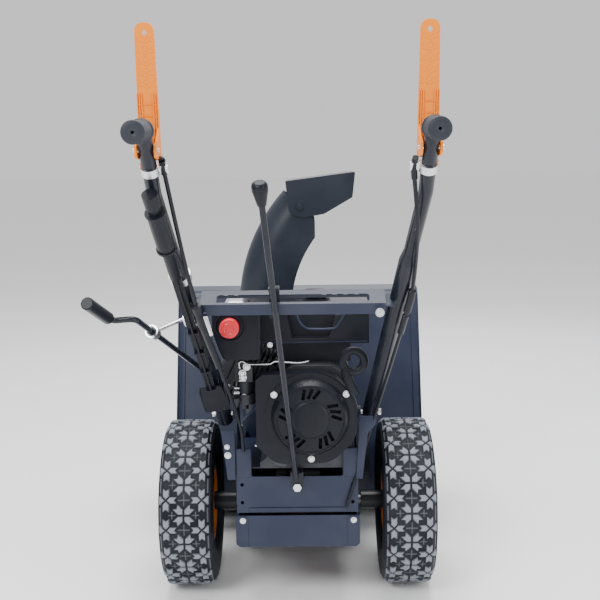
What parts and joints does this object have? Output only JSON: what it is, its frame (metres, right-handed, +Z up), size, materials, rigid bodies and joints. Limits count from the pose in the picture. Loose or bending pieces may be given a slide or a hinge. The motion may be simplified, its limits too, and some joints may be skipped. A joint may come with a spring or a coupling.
{
  "type": "snow blower",
  "caption": "Walk-behind two-stage snow blower with a wide auger bucket, turning discharge chute, petrol engine, knobbly tyres and two handles with squeeze levers.",
  "frame": {"origin": "on the ground, on the mid plane, straight below the wheel axle", "axes": "+Y forward to the bucket, -Y to the operator, +X to the operator's right, +Z up"},
  "size_m": [0.624, 1.2369, 1.0521],
  "materials": {
    "body_paint": "satin navy enamel",
    "orange_paint": "gloss orange enamel",
    "handle_paint": "satin dark enamel",
    "orange_plastic": "moulded orange",
    "red_plastic": "moulded red",
    "black_plastic": "moulded black",
    "chute_plastic": "moulded dark grey",
    "grip_rubber": "moulded grip",
    "cable_rubber": "cable sheath",
    "tyre": "rubber tyre",
    "zinc_steel": "zinc plated",
    "bare_steel": "machined",
    "cast_aluminium": "as cast",
    "cast_iron": "as cast",
    "belt_rubber": "belt"
  },
  "bodies": {
    "frame": {"bucket_wrap": "body_paint", "bucket_side_left": "body_paint", "bucket_side_right": "body_paint", "scraper_bar": "body_paint", "skid_shoes": "body_paint", "impeller_drum": "body_paint", "auger_gearbox": "cast_aluminium", "frame_sides": "body_paint", "engine_deck": "body_paint", "rear_plate": "body_paint", "belly_pan": "body_paint", "belt_cover": "black_plastic", "handle_lower_left": "handle_paint", "handle_lower_right": "handle_paint", "handle_upper_left": "handle_paint", "handle_upper_right": "handle_paint", "grip_left": "grip_rubber", "grip_right": "grip_rubber", "handle_clamps": "zinc_steel", "dash_panel": "body_paint", "drive_belts": "belt_rubber", "drive_chain": "bare_steel", "crankcase": "cast_aluminium", "cylinder_head": "cast_aluminium", "blower_housing": "black_plastic", "recoil_cover": "black_plastic", "fuel_tank": "black_plastic", "carburettor_cover": "black_plastic", "carburettor": "cast_aluminium", "muffler": "zinc_steel", "chute_keepers": "zinc_steel", "crank_guide": "zinc_steel", "control_cable_left": "cable_rubber", "control_cable_right": "cable_rubber", "frame_bolts": "zinc_steel"},
    "wheels": {"axle": "bare_steel", "rim_left": "orange_paint", "rim_right": "orange_paint", "tyre_left": "tyre", "tyre_right": "tyre"},
    "hex_drive": {"hex_shaft": "bare_steel"},
    "friction_wheel": {"friction_wheel": "grip_rubber"},
    "friction_disc": {"friction_disc": "bare_steel"},
    "crankshaft": {"crankshaft": "bare_steel"},
    "impeller": {"impeller": "orange_paint"},
    "augers": {"auger_left": "orange_paint", "auger_right": "orange_paint", "auger_shaft": "bare_steel"},
    "chute": {"chute": "chute_plastic"},
    "deflector": {"deflector": "chute_plastic"},
    "chute_crank": {"chute_crank": "handle_paint"},
    "crank_grip": {"crank_grip": "black_plastic"},
    "shift_lever": {"shift_lever": "handle_paint", "shift_knob": "black_plastic"},
    "lever_left": {"lever_left": "orange_plastic"},
    "lever_right": {"lever_right": "orange_plastic"},
    "primer_button": {"primer_button": "red_plastic"},
    "fuel_cap": {"fuel_cap": "black_plastic"},
    "recoil_handle": {"recoil_handle": "black_plastic"},
    "cleanout_tool": {"cleanout_tool": "black_plastic"}
  },
  "joints": [
    {"name": "axle_spin", "type": "hinge", "parent": "frame", "child": "wheels", "pos_m": [0, 0, 0.165], "axis": [1, 0, 0], "continuous": true},
    {"name": "hex_spin", "type": "hinge", "parent": "frame", "child": "hex_drive", "pos_m": [0, -0.06, 0.224], "axis": [1, 0, 0], "continuous": true},
    {"name": "friction_slide", "type": "slide", "parent": "hex_drive", "child": "friction_wheel", "axis": [1, 0, 0], "range_m": [-0.0235, 0.039]},
    {"name": "friction_disc_spin", "type": "hinge", "parent": "frame", "child": "friction_disc", "pos_m": [0, 0, 0.224], "axis": [0, 1, 0], "continuous": true},
    {"name": "crankshaft_spin", "type": "hinge", "parent": "frame", "child": "crankshaft", "pos_m": [0.026, 0, 0.39], "axis": [0, 1, 0], "continuous": true},
    {"name": "impeller_spin", "type": "hinge", "parent": "frame", "child": "impeller", "pos_m": [0, 0, 0.2], "axis": [0, 1, 0], "continuous": true},
    {"name": "auger_spin", "type": "hinge", "parent": "frame", "child": "augers", "pos_m": [0, 0.38, 0.168], "axis": [1, 0, 0], "continuous": true},
    {"name": "chute_turn", "type": "hinge", "parent": "frame", "child": "chute", "pos_m": [-0.068, 0.186, 0.365], "axis": [0, 0, 1], "range_deg": [0, 190]},
    {"name": "deflector_tilt", "type": "hinge", "parent": "chute", "child": "deflector", "pos_m": [0.008, 0.186, 0.757], "axis": [0, 1, 0], "range_deg": [0, 55]},
    {"name": "crank_spin", "type": "hinge", "parent": "frame", "child": "chute_crank", "pos_m": [-0.231, -0.35, 0.581], "axis": [-0.1601, -0.8995, 0.4066], "range_deg": [-10, 2300]},
    {"name": "crank_grip_spin", "type": "hinge", "parent": "chute_crank", "child": "crank_grip", "pos_m": [-0.28291, -0.42584, 0.61414], "axis": [-0.1601, -0.8995, 0.4066], "continuous": true},
    {"name": "shift_lever", "type": "hinge", "parent": "frame", "child": "shift_lever", "pos_m": [0, -0.153, 0.247], "axis": [0, 1, 0], "range_deg": [-11.3, 19.3]},
    {"name": "lever_left", "type": "hinge", "parent": "frame", "child": "lever_left", "pos_m": [-0.198, -0.55775, 0.87639], "axis": [1, 0, 0], "range_deg": [0, 70], "stiffness_Nm_per_rad": 0.4, "springref_deg": -22.92},
    {"name": "lever_right", "type": "hinge", "parent": "frame", "child": "lever_right", "pos_m": [0.198, -0.55775, 0.87639], "axis": [1, 0, 0], "range_deg": [0, 70], "stiffness_Nm_per_rad": 0.4, "springref_deg": -22.92},
    {"name": "primer_button", "type": "slide", "parent": "frame", "child": "primer_button", "axis": [0, 1, 0], "range_m": [0, 0.006], "stiffness_N_per_m": 300, "springref_m": -0.004},
    {"name": "fuel_cap_turn", "type": "hinge", "parent": "frame", "child": "fuel_cap", "pos_m": [0.04, -0.04, 0.6], "axis": [0, 0, 1], "range_deg": [0, 90]},
    {"name": "recoil_pull", "type": "slide", "parent": "frame", "child": "recoil_handle", "axis": [0.0506, -0.9514, 0.3036], "range_m": [0, 0.02], "stiffness_N_per_m": 100, "springref_m": -0.02},
    {"name": "cleanout_tool_lift", "type": "slide", "parent": "frame", "child": "cleanout_tool", "axis": [0, -0.7391, -0.6736], "range_m": [0, 0.06]}
  ],
  "couplings": [
    {"joint": "hex_spin", "follows": "axle_spin", "ratio": 2},
    {"joint": "friction_slide", "follows": "shift_lever", "m_per_rad": 0.112},
    {"joint": "auger_spin", "follows": "impeller_spin", "ratio": 0.1},
    {"joint": "crank_spin", "follows": "chute_turn", "ratio": 12}
  ]
}
